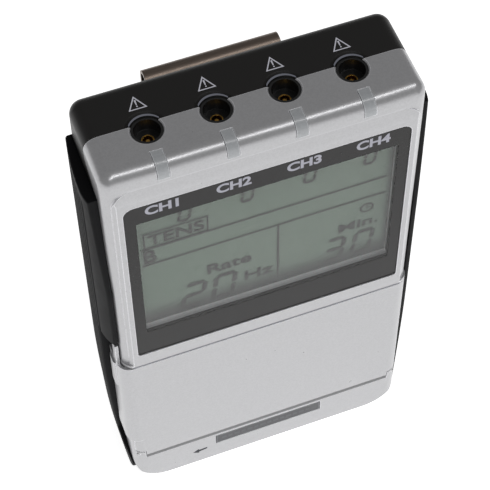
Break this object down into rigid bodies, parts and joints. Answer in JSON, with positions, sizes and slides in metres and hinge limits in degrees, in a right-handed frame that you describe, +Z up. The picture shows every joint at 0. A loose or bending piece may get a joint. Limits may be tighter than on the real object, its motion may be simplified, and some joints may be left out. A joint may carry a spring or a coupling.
{
  "type": "tens unit",
  "caption": "Handheld electrotherapy unit with a segment display, lead sockets in its top, a flip-down keypad door, side grips and a belt clip.",
  "frame": {"origin": "on the resting face at the lower end, midway across the width and the depth of the body", "axes": "+Z up towards the lead sockets, -Y the front with the display, +X to the right seen from the front"},
  "size_m": [0.086, 0.0343, 0.1442],
  "materials": {
    "silver_paint": "satin silver paint",
    "black_plastic": "fine satin texture",
    "black_rubber": "matt, ribbed",
    "clear_lens": "polished acrylic",
    "lens_border": "printed black",
    "lcd_glass": "grey-green reflective display",
    "white_plastic": "moulded",
    "strip_rubber": "soft",
    "light_pipe": "frosted clear moulding",
    "led_lens": "clear",
    "brass_contact": "polished",
    "circuit_board": "solder mask",
    "chip_plastic": "moulded",
    "ferrite": "sintered",
    "copper_winding": "enamelled wire under tape",
    "capacitor_can": "sleeved can",
    "socket_plastic": "moulded",
    "plated_contact": "nickel plated",
    "mat_rubber": "silicone",
    "key_grey": "satin",
    "key_dark": "satin",
    "key_red": "satin",
    "steel_wire": "drawn wire",
    "plate_dark": "satin print",
    "cell_sleeve": "sleeved metal can",
    "clip_steel": "cold-rolled stainless",
    "screw_steel": "blackened"
  },
  "bodies": {
    "housing": {"front_housing": "silver_paint", "rear_housing": "black_plastic", "left_grip": "black_rubber", "right_grip": "black_rubber", "display_lens": "clear_lens", "lens_gasket": "lens_border", "lcd_panel": "lcd_glass", "lcd_frame": "white_plastic", "lcd_connector_strips": "strip_rubber", "light_pipe_1": "light_pipe", "light_pipe_2": "light_pipe", "light_pipe_3": "light_pipe", "light_pipe_4": "light_pipe", "channel_leds": "led_lens", "lead_jack_1": "socket_plastic", "lead_jack_2": "socket_plastic", "lead_jack_3": "socket_plastic", "lead_jack_4": "socket_plastic", "jack_sleeves": "brass_contact", "jack_pins": "brass_contact", "jack_board": "circuit_board", "board_header": "chip_plastic", "main_board": "circuit_board", "controller_chip": "chip_plastic", "output_transformers": "ferrite", "transformer_coils": "copper_winding", "capacitors": "capacitor_can", "buzzer": "chip_plastic", "dc_inlet": "socket_plastic", "dc_inlet_pin": "plated_contact", "key_mat": "mat_rubber", "door_hinge_pin": "steel_wire", "nameplate": "plate_dark", "battery_cell_1": "cell_sleeve", "battery_cell_2": "cell_sleeve", "battery_cell_3": "cell_sleeve", "battery_cell_4": "cell_sleeve", "battery_springs": "plated_contact", "battery_contacts": "plated_contact", "case_screws": "screw_steel", "board_screws": "screw_steel"},
    "door": {"keypad_door": "silver_paint"},
    "battery_cover": {"battery_door": "black_plastic"},
    "clip": {"belt_clip": "clip_steel"},
    "ch1_up_button": {"ch1_up_key": "key_grey"},
    "ch2_up_button": {"ch2_up_key": "key_grey"},
    "ch3_up_button": {"ch3_up_key": "key_grey"},
    "ch4_up_button": {"ch4_up_key": "key_grey"},
    "ch1_down_button": {"ch1_down_key": "key_grey"},
    "ch2_down_button": {"ch2_down_key": "key_grey"},
    "ch3_down_button": {"ch3_down_key": "key_grey"},
    "ch4_down_button": {"ch4_down_key": "key_grey"},
    "power_button": {"power_key": "key_red"},
    "mode_button": {"mode_key": "key_dark"},
    "select_button": {"select_key": "key_dark"},
    "set_button": {"set_key": "key_dark"}
  },
  "joints": [
    {"name": "door_hinge", "type": "hinge", "parent": "housing", "child": "door", "pos_m": [0, -0.0129, 0.0154], "axis": [1, 0, 0], "range_deg": [0, 105]},
    {"name": "battery_cover_slide", "type": "slide", "parent": "housing", "child": "battery_cover", "axis": [0, 0, -1], "range_m": [0, 0.008]},
    {"name": "clip_slide", "type": "slide", "parent": "housing", "child": "clip", "axis": [0, 0, 1], "range_m": [0, 0.028]},
    {"name": "ch1_up_press", "type": "slide", "parent": "housing", "child": "ch1_up_button", "axis": [0, 1, 0], "range_m": [0, 0.001], "stiffness_N_per_m": 600, "springref_m": -0.0003},
    {"name": "ch2_up_press", "type": "slide", "parent": "housing", "child": "ch2_up_button", "axis": [0, 1, 0], "range_m": [0, 0.001], "stiffness_N_per_m": 600, "springref_m": -0.0003},
    {"name": "ch3_up_press", "type": "slide", "parent": "housing", "child": "ch3_up_button", "axis": [0, 1, 0], "range_m": [0, 0.001], "stiffness_N_per_m": 600, "springref_m": -0.0003},
    {"name": "ch4_up_press", "type": "slide", "parent": "housing", "child": "ch4_up_button", "axis": [0, 1, 0], "range_m": [0, 0.001], "stiffness_N_per_m": 600, "springref_m": -0.0003},
    {"name": "ch1_down_press", "type": "slide", "parent": "housing", "child": "ch1_down_button", "axis": [0, 1, 0], "range_m": [0, 0.001], "stiffness_N_per_m": 600, "springref_m": -0.0003},
    {"name": "ch2_down_press", "type": "slide", "parent": "housing", "child": "ch2_down_button", "axis": [0, 1, 0], "range_m": [0, 0.001], "stiffness_N_per_m": 600, "springref_m": -0.0003},
    {"name": "ch3_down_press", "type": "slide", "parent": "housing", "child": "ch3_down_button", "axis": [0, 1, 0], "range_m": [0, 0.001], "stiffness_N_per_m": 600, "springref_m": -0.0003},
    {"name": "ch4_down_press", "type": "slide", "parent": "housing", "child": "ch4_down_button", "axis": [0, 1, 0], "range_m": [0, 0.001], "stiffness_N_per_m": 600, "springref_m": -0.0003},
    {"name": "power_press", "type": "slide", "parent": "housing", "child": "power_button", "axis": [0, 1, 0], "range_m": [0, 0.001], "stiffness_N_per_m": 600, "springref_m": -0.0003},
    {"name": "mode_press", "type": "slide", "parent": "housing", "child": "mode_button", "axis": [0, 1, 0], "range_m": [0, 0.001], "stiffness_N_per_m": 600, "springref_m": -0.0003},
    {"name": "select_press", "type": "slide", "parent": "housing", "child": "select_button", "axis": [0, 1, 0], "range_m": [0, 0.001], "stiffness_N_per_m": 600, "springref_m": -0.0003},
    {"name": "set_press", "type": "slide", "parent": "housing", "child": "set_button", "axis": [0, 1, 0], "range_m": [0, 0.001], "stiffness_N_per_m": 600, "springref_m": -0.0003}
  ]
}
